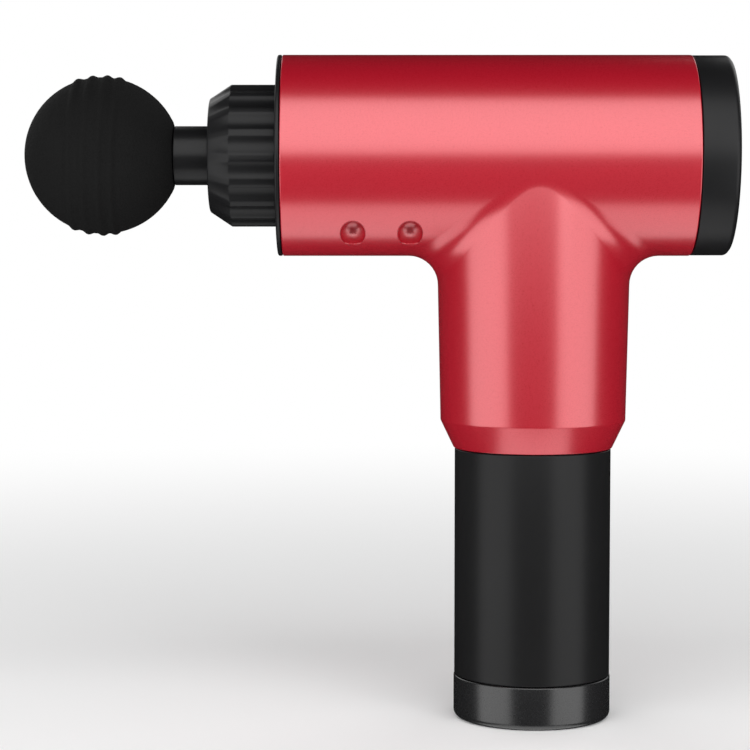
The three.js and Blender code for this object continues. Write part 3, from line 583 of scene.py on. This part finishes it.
def housing():
    """The T-shaped shell: barrel, neck, the blend between them, and pockets for the side screws."""
    patches = Patches()
    outer, inner = Tee(0), Tee(WALL)
    angles = [2 * math.pi * i / AROUND for i in range(AROUND)]
    edges = {}
    for tee, flip in ((outer, False), (inner, True)):
        rows = [tee.blend_row(a, BLEND_STEPS) for a in angles]
        sign = -1 if flip else 1
        points = [[rows[i][0][s] for i in range(AROUND)] for s in range(BLEND_STEPS + 1)]
        normals = [[rows[i][1][s] * sign for i in range(AROUND)] for s in range(BLEND_STEPS + 1)]
        patches.grid(points, True, normals, flip=not flip)
        edges[tee] = points

    # Neck: down the outside, round the lip and up the inside
    taper_top = NECK_TAPER_TOP_Z - AXIS_Z
    shoulder = NECK_SHOULDER_Z - AXIS_Z
    end = shell_low.z - AXIS_Z
    below = taper_top - 3
    slope = (NECK_TOP_R - NECK_LOW_R) / (taper_top - shoulder)
    profile = rounded([
        (below, NECK_TOP_R - 3 * slope, 0),
        (shoulder, NECK_LOW_R, 1.6),
        (end, NECK_END_R, 0.5),
        (end, HANDLE_TUBE_R, 0.3),
        (end + 2, HANDLE_TUBE_R, 0.5),
        (shoulder + 1, NECK_LOW_R - WALL, 1.5),
        (below, NECK_TOP_R - WALL - 3 * slope, 0),
    ])
    rows = [edges[outer][-1]]
    rows += [[(r * math.cos(a), r * math.sin(a), z) for a in angles] for z, r in profile]
    rows.append(edges[inner][-1])
    patches.grid(rows, True, flip=True)

    # Barrel: outside, inside and the two open ends
    edge = BARREL_EDGE
    front, rear = shell_low.x, shell_high.x
    barrel_skin(patches, outer, front + edge, rear - edge, edges[outer][0], POCKET_R + POCKET_EDGE, False)
    barrel_skin(patches, inner, front, rear, edges[inner][0], POCKET_R, True)
    ring_angles = [2 * math.pi * i / BARREL_COLUMNS - math.pi for i in range(BARREL_COLUMNS)]
    for x, way in ((front, 1), (rear, -1)):
        outline = [(x + way * edge, BARREL_R)]
        outline += [(x + way * edge * (1 - math.sin(a)), BARREL_R - edge * (1 - math.cos(a)))
                    for a in (math.radians(d) for d in (22.5, 45, 67.5, 90))]
        outline.append((x, BARREL_R - WALL))
        rows = [[(px, r * math.sin(a), -r * math.cos(a)) for a in ring_angles] for px, r in outline]
        patches.grid(rows, True, flip=way > 0)

    # Pockets for the screws: a small rounded edge, then the bore through the wall
    for x, side in POCKETS:
        rows = [pocket_loop(outer, x, side, POCKET_R + POCKET_EDGE)]
        for depth, radius in ((0.02, POCKET_R + 0.03), (0.1, POCKET_R)):
            rows.append([(px, py - side * depth, pz) for px, py, pz in pocket_loop(outer, x, side, radius)])
        rows.append(pocket_loop(inner, x, side, POCKET_R))
        patches.grid(rows, True, flip=side < 0)
    return patches.finish("housing", red_shell)


def fixing_turned(name, outline, x, side, skin, material):
    """
    A piece turned on a fixing's axis from (distance from the middle, radius) points; it goes no
    further out than a barrel of the skin's radius.
    """
    def place(depth, c, d):
        z = d - FIXING_DROP
        return (x + c, side * min(depth, math.sqrt(skin * skin - z * z)), z + AXIS_Z)

    return turned(name, outline, 72, place, material, 40)


BOSS_R = 6.2
BOSS_HOLE_R = 1.8
BOSS_Y = 7.3
BOSS_EDGE = 0.4
BOSS_SUNK = 1.2  # how far the boss stays under the barrel's surface
MOUTH_Y = 24  # about how far out the barrel's surface is above a fixing


def screw_boss(number, x, side):
    """The boss inside the shell that takes one side screw, grown a little way into the wall."""
    outline = [
        (BOSS_Y, BOSS_HOLE_R), (BOSS_Y, BOSS_R - BOSS_EDGE), (BOSS_Y + BOSS_EDGE, BOSS_R),
        (MOUTH_Y, BOSS_R), (MOUTH_Y, POCKET_R), (POCKET_FLOOR_Y, POCKET_R), (POCKET_FLOOR_Y, BOSS_HOLE_R),
    ]
    return fixing_turned(f"screw_boss_{number}", outline, x, side, BARREL_R - BOSS_SUNK, red_shell)


DISH_R = 3.96
DISH_SPHERE_R = 4.7
DISH_FLOOR_Y = 14.4
DISH_STEPS = 16
DISH_MOUTH_Y = 18
PLUG_R = 4.05
PLUG_BACK_Y = 11.7
PLUG_SIDE_Y = 14
PLUG_EDGE = 0.3
PLUG_SUNK = 0.04


def screw_cover(number, x, side):
    """A plug whose outer face is dished and, at its rim, follows the barrel."""
    outline = [(DISH_FLOOR_Y, 0)]
    for step in range(1, DISH_STEPS + 1):
        radius = DISH_R * step / DISH_STEPS
        rise = DISH_SPHERE_R - math.sqrt(DISH_SPHERE_R ** 2 - radius * radius)
        outline.append((DISH_FLOOR_Y + rise, radius))
    outline += [(depth, DISH_R) for depth in range(DISH_MOUTH_Y, MOUTH_Y + 1)]
    outline += [
        (BARREL_R, DISH_R), (BARREL_R, PLUG_R), (PLUG_SIDE_Y, PLUG_R), (PLUG_BACK_Y + PLUG_EDGE, PLUG_R),
        (PLUG_BACK_Y, PLUG_R - PLUG_EDGE), (PLUG_BACK_Y, 0),
    ]
    return fixing_turned(f"screw_cover_{number}", outline, x, side, BARREL_R - PLUG_SUNK, red_plug)


# ---- Front plate and collar ------------------------------------------------------------------

SPIGOT_R = BARREL_R - WALL - GAP
PLATE_HOLE_R = 19.9
RIM_THICKNESS = 2.5


def front_plate():
    """The plate that closes the barrel's front, with rims that reach into the shell."""
    back = shell_low.x - GAP
    inner_end = plate_high.x
    outline = rounded([
        (plate_low.x, PLATE_HOLE_R, 0.2), (plate_low.x, BARREL_R, 0.6), (back, BARREL_R, 0.2),
        (back, SPIGOT_R, 0.1), (inner_end, SPIGOT_R, 0.4), (inner_end, SPIGOT_R - RIM_THICKNESS, 0.3),
        (back, SPIGOT_R - RIM_THICKNESS, 0.3), (back, PLATE_HOLE_R + RIM_THICKNESS, 0.3),
        (inner_end, PLATE_HOLE_R + RIM_THICKNESS, 0.3), (inner_end, PLATE_HOLE_R, 0.3),
    ])
    return lathe("front_plate", outline, black_satin, segments=160)


FLUTES = 18
FLUTE_R = 5.5
FLUTE_DEPTH = 0.95
COLLAR_R = 23.1
COLLAR_FRONT_R = 18.3
COLLAR_FULL_X = -97.9
COLLAR_BORE_R = 19.6
COLLAR_LIP_X = -99.5
COLLAR_LIP_R = 13.2
FLUTE_TURN = math.radians(2.5)
FLUTE_START_X = -96  # the flutes run out on the chamfer before here
FINE_CUT = 0.3
LONG_CUT = 2


def soft_min(a, b, blend):
    """The smaller of two lengths, rounded where they cross."""
    h = max(blend - abs(a - b), 0) / blend
    return min(a, b) - h * h * blend / 4


def flute_radius(angle):
    """The radius of the fluted surface in a direction round the collar."""
    pitch = 2 * math.pi / FLUTES
    off = (angle - FLUTE_TURN) % pitch - pitch / 2
    reach = COLLAR_R + FLUTE_R - FLUTE_DEPTH
    inside = FLUTE_R ** 2 - (reach * math.sin(off)) ** 2
    return reach * math.cos(off) - math.sqrt(inside) if inside > 0 else COLLAR_R + 5


def nose_collar():
    """The collar: a chamfered front and concave flutes, swept as one smooth outer surface."""
    around = FLUTES * 20  # points, twenty a flute
    front, back = collar_low.x, collar_high.x
    outer = rounded([
        (front, COLLAR_LIP_R, 0.5), (front, COLLAR_FRONT_R, 0.9), (COLLAR_FULL_X, COLLAR_R, 0.9),
        (back, COLLAR_R, 0.3), (back, COLLAR_BORE_R, 0.3), (COLLAR_LIP_X, COLLAR_BORE_R, 0.3),
        (COLLAR_LIP_X, COLLAR_LIP_R, 0.2),
    ])
    outline = []
    for (x0, r0), (x1, r1) in zip(outer, outer[1:] + outer[:1]):
        outline.append((x0, r0))
        length = math.hypot(x1 - x0, r1 - r0)
        fine = min(r0, r1) > COLLAR_FRONT_R + 0.5 and length > 0.5
        cut = FINE_CUT if max(x0, x1) <= FLUTE_START_X else LONG_CUT
        cuts = int(length / cut) if fine else 0
        outline += [(x0 + (x1 - x0) * k / cuts, r0 + (r1 - r0) * k / cuts) for k in range(1, cuts)]
    points = []
    for x, r in outline:
        fluted = r > COLLAR_BORE_R + 1
        for i in range(around):
            a = 2 * math.pi * i / around
            radius = soft_min(r, flute_radius(a), 0.35) if fluted else r
            points.append((x, radius * math.cos(a), radius * math.sin(a) + AXIS_Z))
    rings = [[i * around + j for j in range(around)] for i in range(len(outline))]
    return solid("nose_collar", points, outward(points, ring_faces(rings)), black_satin, 40)


# ---- Rear cap and control panel --------------------------------------------------------------

PANEL_R = panel_high.y
PANEL_SEAT_X = 60.6
VENT_R = 1.35
VENT_EDGE = 0.16
VENT_RINGS = [  # radius, positions round the circle, and the positions that are drilled
    (8.86, 12, lambda i: i < 8 or i > 10),
    (14.3, 20, lambda i: i <= 10),
    (19.7, 24, lambda i: True),
    (25.2, 32, lambda i: True),
]
SENSOR_HOLE = (7.2, -14.2)
LED_RING_R = 19.7
LED_ANGLES = range(60, 136, 15)
LENS_R = 1.28
LENS_POINTS = 24
GUIDE_HALF_WIDTH = 1.5
BUTTON_R = 4.9
BUTTON_HOLE_R = 5.2
BUTTON_SKIRT_R = 6.1
BUTTON_SKIRT_X = 59
BUTTON_SHANK_R = 2
JACK_Z = (jack_low.z + jack_high.z) / 2 - AXIS_Z
JACK_RING_R = (jack_ring_high.y - jack_ring_low.y) / 2
JACK_BORE_R = 3
JACK_FLOOR_X = 51
JACK_PIN_HOLE_R = 1.1
JACK_BODY_R = 4.6
JACK_PIN_R = 0.8


def rear_cap():
    """The cap ring behind the shell, with a ledge that the control panel sits on."""
    front = shell_high.x + GAP
    outline = rounded([
        (front, SPIGOT_R, 0.1), (front, cap_high.y, 0.3), (cap_high.x, cap_high.y, 1.7),
        (cap_high.x, PANEL_R + 0.25, 0.35), (PANEL_SEAT_X, PANEL_R + 0.25, 0.1),
        (PANEL_SEAT_X, PANEL_R - 1, 0.2), (cap_low.x, SPIGOT_R - 1.5, 0.3), (cap_low.x, SPIGOT_R, 0.5),
    ])
    return lathe("rear_cap", outline, black_satin, segments=192)


def vent_places():
    """Centres of the panel's small holes, as (y, z) from the barrel's axis."""
    places = [SENSOR_HOLE]
    for radius, count, drilled in VENT_RINGS:
        for i in range(count):
            a = 2 * math.pi * i / count
            if drilled(i):
                places.append((radius * math.cos(a), radius * math.sin(a)))
    return places


def circle(y, z, radius, count):
    """Points round a circle across the barrel's axis, as (y, z)."""
    return [(y + radius * math.cos(2 * math.pi * i / count), z + radius * math.sin(2 * math.pi * i / count))
            for i in range(count)]


def vent_panel():
    """The perforated disc; every hole has a small countersunk edge."""
    patches = Patches()
    back, front = panel_low.x, panel_high.x
    holes = [(y, z, VENT_R, 20) for y, z in vent_places()]
    holes += [(0, 0, BUTTON_HOLE_R, 64), (0, JACK_Z, JACK_RING_R + 0.15, 48)]
    rim = 144  # points round the disc
    for x, edge, flip in ((front, VENT_EDGE, False), (back, 0, True)):
        loops = [circle(0, 0, PANEL_R - 0.3, rim)] + [circle(y, z, r + edge, n) for y, z, r, n in holes]

        def in_hole(p, extra=edge):
            return any(math.hypot(p[0] - y, p[1] - z) < (r + extra) * math.cos(math.pi / n)
                       for y, z, r, n in holes)

        verts, faces = fill_plane(loops, [], in_hole)
        normal = (-1, 0, 0) if flip else (1, 0, 0)
        patches.add([(x, v[0], v[1]) for v in verts], faces, [normal] * len(verts), flip)
    for y, z, r, n in holes:
        wall = [(front, r + VENT_EDGE), (front - 0.05, r + 0.05), (front - VENT_EDGE, r), (back, r)]
        rows = [[(x, *p) for p in circle(y, z, radius, n)] for x, radius in wall]
        patches.grid(rows, True, flip=True)
    outside = [(front, PANEL_R - 0.3), (front - 0.1, PANEL_R - 0.1), (front - 0.3, PANEL_R),
               (back, PANEL_R), (back, PANEL_R - 0.3)]
    rows = [[(x, *p) for p in circle(0, 0, radius, rim)] for x, radius in outside]
    patches.grid(rows, True)
    return patches.finish("vent_panel", panel_black)


def light_guide():
    """The curved light strip and six round-topped lenses that stand in the panel's holes."""
    patches = Patches()
    start, end = math.radians(LED_ANGLES[0] - 6), math.radians(LED_ANGLES[-1] + 6)
    steps = 40
    within, beyond = LED_RING_R - GUIDE_HALF_WIDTH, LED_RING_R + GUIDE_HALF_WIDTH
    section = [(within, guide_low.x), (beyond, guide_low.x), (beyond, PANEL_SEAT_X), (within, PANEL_SEAT_X)]
    rows = []
    for i in range(steps + 1):
        a = start + (end - start) * i / steps
        rows.append([(x, r * math.cos(a), r * math.sin(a)) for r, x in section])
    patches.grid(rows, True)
    patches.add(rows[0], [(3, 2, 1, 0)])
    patches.add(rows[-1], [(0, 1, 2, 3)])
    for degrees in LED_ANGLES:
        a = math.radians(degrees)
        y, z = LED_RING_R * math.cos(a), LED_RING_R * math.sin(a)
        top = panel_high.x + 0.35
        lens = [(PANEL_SEAT_X - 0.5, LENS_R), (panel_high.x - 0.35, LENS_R)]
        lens += [(top - 0.7 * (1 - math.sin(t)), LENS_R * math.cos(t))
                 for t in (math.radians(k) for k in range(15, 90, 15))]
        rows = [[(x, *p) for p in circle(y, z, r, LENS_POINTS)] for x, r in lens]
        patches.grid(rows, True, flip=True)
        tip = [(k, (k + 1) % LENS_POINTS, LENS_POINTS) for k in range(LENS_POINTS)]
        patches.add([*rows[-1], (top, y, z)], tip)
        patches.add(rows[0], [tuple(reversed(range(LENS_POINTS)))])
    return patches.finish("light_guide", red_light)


def power_button():
    """The round button: a shank, a skirt that stays behind the panel, and a shallow dished face."""
    front = button_high.x
    outline = rounded([
        (button_low.x, 0, 0), (button_low.x, BUTTON_SHANK_R, 0.3), (BUTTON_SKIRT_X, BUTTON_SHANK_R, 0.3),
        (BUTTON_SKIRT_X, BUTTON_SKIRT_R, 0.3), (PANEL_SEAT_X, BUTTON_SKIRT_R, 0.2),
        (PANEL_SEAT_X, BUTTON_R, 0.1), (front, BUTTON_R, 0.55), (front, BUTTON_R - 1.0, 0.1),
        (front - 0.18, BUTTON_R - 1.15, 0.1), (front - 0.3, 0, 0),
    ])
    return lathe("power_button", outline, button_black, segments=96)


def power_mark():
    """A generic power mark standing slightly proud of the button's dished face."""
    patches = Patches()
    back, front = button_high.x - 0.4, button_high.x - 0.14
    half_width = 0.28
    radius = 2.0
    opening = 38  # degrees from the top to each end of the arc

    def ribbon(centres, sides):
        rows = [[(back, *(c - s)), (back, *(c + s)), (front, *(c + s * 0.8)), (front, *(c - s * 0.8))]
                for c, s in zip(centres, sides)]
        patches.grid(rows, True)
        patches.add(rows[0], [(3, 2, 1, 0)])
        patches.add(rows[-1], [(0, 1, 2, 3)])

    arc = [math.radians(90 + opening + (360 - 2 * opening) * i / 40) for i in range(41)]
    directions = [np.array((math.cos(a), math.sin(a))) for a in arc]
    ribbon([d * radius for d in directions], [d * half_width for d in directions])
    ribbon([np.array((0, 0.3)), np.array((0, 2.5))], [np.array((-half_width, 0))] * 2)
    return patches.finish("power_mark", mark_grey)


def charging_jack():
    """The jack's body behind the panel, its bright rim and its recessed pin."""
    height = AXIS_Z + JACK_Z
    low, high = jack_low.x, panel_low.x - GAP
    body = lathe("dc_jack", rounded([
        (low, JACK_PIN_HOLE_R, 0.1), (low, JACK_BODY_R, 0.4), (high, JACK_BODY_R, 0.4),
        (high, JACK_BORE_R, 0.3), (JACK_FLOOR_X, JACK_BORE_R, 0.2), (JACK_FLOOR_X, JACK_PIN_HOLE_R, 0.1),
    ]), black_gloss, height, segments=64)
    low, high = jack_ring_low.x, jack_ring_high.x
    rim = lathe("dc_jack_ring", rounded([
        (low, JACK_BORE_R, 0.1), (low, JACK_RING_R, 0.1), (high, JACK_RING_R, 0.28),
        (high, JACK_BORE_R + 0.3, 0.2), (high - 0.5, JACK_BORE_R, 0.1),
    ]), nickel, height, segments=96)
    pin_low, pin_high = node_box("dc_pin")
    pin = lathe("dc_pin", rounded([
        (pin_low.x, 0, 0), (pin_low.x, JACK_PIN_R, 0.1), (pin_high.x, JACK_PIN_R, 0.45), (pin_high.x, 0, 0),
    ]), nickel, height, segments=48)
    return body, rim, pin


# ---- Ball head -------------------------------------------------------------------------------

BALL_R = 25.3
BALL_X = ball_low.x + BALL_R
RIB_X = [-148.5, -143.9, -139.1, -135.1]
RIB_HEIGHT = 0.72
RIB_HALF_WIDTH = 1.7
RIB_LEAN = math.radians(2.1)  # the ball sits slightly turned on its stem
BALL_FLAT_X = -117.2
BALL_BORE_R = 7.3
PIT_SPREAD = 0.018  # mm, the foam's unevenness


def rib_height(along):
    """How far the ribs raise the ball's surface at a distance along its own axis."""
    raised = 0.0
    for x in RIB_X:
        across = (along - (x - BALL_X)) / RIB_HALF_WIDTH
        if abs(across) < 1:
            raised = max(raised, RIB_HEIGHT * math.cos(across * math.pi / 2) ** 1.5)
    return raised


def massage_ball():
    """A foam ball with four rings, flattened and bored where the stem enters."""
    around, rings_along = 160, 150
    flat = BALL_FLAT_X - BALL_X
    points = [(BALL_X - BALL_R, 0, AXIS_Z)]
    rings = [[0]]

    def add_ring(places):
        rings.append([len(points) + j for j in range(len(places))])
        points.extend(places)

    lean_c, lean_s = math.cos(RIB_LEAN), math.sin(RIB_LEAN)
    rng = np.random.default_rng(7)
    pits = rng.normal(0, PIT_SPREAD, (rings_along + 1, around))
    turns = [2 * math.pi * j / around for j in range(around)]
    for i in range(1, rings_along + 1):
        polar = math.pi - (math.pi - math.acos(flat / BALL_R)) * i / rings_along
        ring = []
        for j, a in enumerate(turns):
            d = np.array((math.cos(polar), math.sin(polar) * math.cos(a), math.sin(polar) * math.sin(a)))
            along = (d[0] * lean_c - d[2] * lean_s) * BALL_R
            radius = BALL_R + rib_height(along) + pits[i, j]
            ring.append((BALL_X + d[0] * radius, d[1] * radius, AXIS_Z + d[2] * radius))
        add_ring(ring)
    edge_r = math.sqrt(BALL_R ** 2 - flat ** 2)
    bore_end = stem_low.x - GAP
    for x, r in ((BALL_FLAT_X + 0.25, edge_r - 0.8), (BALL_FLAT_X + 0.3, BALL_BORE_R + 0.3),
                 (BALL_FLAT_X, BALL_BORE_R), (bore_end, BALL_BORE_R)):
        add_ring([(x, r * math.cos(a), AXIS_Z + r * math.sin(a)) for a in turns])
    add_ring([(bore_end, 0, AXIS_Z)])
    return solid("massage_ball", points, outward(points, ring_faces(rings)), black_foam, 60)


STEM_R = 9.55
STEM_SUNK_R = STEM_R - 0.35
STEM_TIP_R = 7
STEM_SHOULDER_X = -116.6
STEM_COLLAR_X = (-104, -103.6)
GROOVE_R = 6.6
GROOVE_HALF_WIDTH = 1.7
SEAL_R = 8.25
SEAL_SECTION_R = 1.35


def head_stem():
    """The stem: a tip inside the ball, a thick visible part, and a part with a groove for its ring."""
    tip, end = stem_low.x, stem_high.x
    groove = (stem_ring_low.x + stem_ring_high.x) / 2
    first, last = groove - GROOVE_HALF_WIDTH, groove + GROOVE_HALF_WIDTH
    return lathe("head_stem", rounded([
        (tip, 0, 0), (tip, STEM_TIP_R, 0.6),
        (STEM_SHOULDER_X, STEM_TIP_R, 0.2), (STEM_SHOULDER_X, STEM_R, 0.3),
        (STEM_COLLAR_X[0], STEM_R, 0.3), (STEM_COLLAR_X[1], STEM_SUNK_R, 0.3),
        (first, STEM_SUNK_R, 0.25), (first, GROOVE_R, 0.3),
        (last, GROOVE_R, 0.3), (last, STEM_SUNK_R, 0.25),
        (end, STEM_SUNK_R, 1.2), (end, 0, 0),
    ]), stem_black)


def stem_ring():
    """The rubber ring in the stem's groove."""
    centre = (stem_ring_low.x + stem_ring_high.x) / 2
    outline = [(centre + SEAL_SECTION_R * math.cos(a), SEAL_R + SEAL_SECTION_R * math.sin(a))
               for a in (2 * math.pi * i / 24 for i in range(24))]
    return lathe("stem_ring", outline, black_rubber, segments=96)


# ---- Handle ----------------------------------------------------------------------------------


CAP_FLOOR = 2.7  # thickness of the end cap's base


def grip_sleeve():
    """The grip's sleeve round the handle's tube."""
    low, high, outer = grip_low.z, grip_high.z, grip_high.y
    return upright("grip_sleeve", rounded([
        (low, HANDLE_TUBE_R, 0.3), (low, outer, 0.4), (high, outer, 0.4), (high, HANDLE_TUBE_R, 0.3),
    ]), grip_rubber)


def end_cap():
    """The cup that closes the handle's foot."""
    top, outer = foot_high.z, foot_high.y
    return upright("end_cap", rounded([
        (0, 0, 0), (0, outer, 2.2), (top, outer, 0.45), (top, HANDLE_TUBE_R, 0.3),
        (CAP_FLOOR, HANDLE_TUBE_R, 0.3), (CAP_FLOOR, 0, 0),
    ]), cap_gloss)


# ---- Assembly --------------------------------------------------------------------------------

studio()
floor()

piece(housing(), "gun", "red_shell", "housing")
for index, (pocket_x, pocket_side) in enumerate(POCKETS, start=1):
    piece(screw_boss(index, pocket_x, pocket_side), "gun", "red_shell")
    piece(screw_cover(index, pocket_x, pocket_side), "gun", "red_plug", f"screw_cover_{index}")
piece(front_plate(), "gun", "black_satin", "front_plate")
piece(nose_collar(), "gun", "black_satin", "nose_collar")
piece(rear_cap(), "gun", "black_satin", "rear_cap")
piece(vent_panel(), "gun", "panel_black", "vent_panel")
piece(light_guide(), "gun", "red_light", "light_guide")
piece(power_button(), "button", "button_black", "power_button")
piece(power_mark(), "button", "button_black")
jack, jack_rim, jack_pin = charging_jack()
piece(jack, "gun", "black_gloss", "dc_jack")
piece(jack_rim, "gun", "nickel", "dc_jack_ring")
piece(jack_pin, "gun", "nickel", "dc_pin")
piece(massage_ball(), "ball_head", "black_foam", "massage_ball")
piece(head_stem(), "ball_head", "stem_black", "head_stem")
piece(stem_ring(), "ball_head", "black_rubber", "stem_ring")
piece(grip_sleeve(), "gun", "grip_rubber", "grip_sleeve")
piece(end_cap(), "gun", "cap_gloss", "end_cap")

node_slots = {s["node"]: s["material_slot"] for s in frame["record"]["subparts"]}
for node_name, node_object in frame["nodes"].items():
    node_object.data.materials.clear()
    node_object.data.materials.append(SLOT_MATERIALS[node_slots[node_name]])
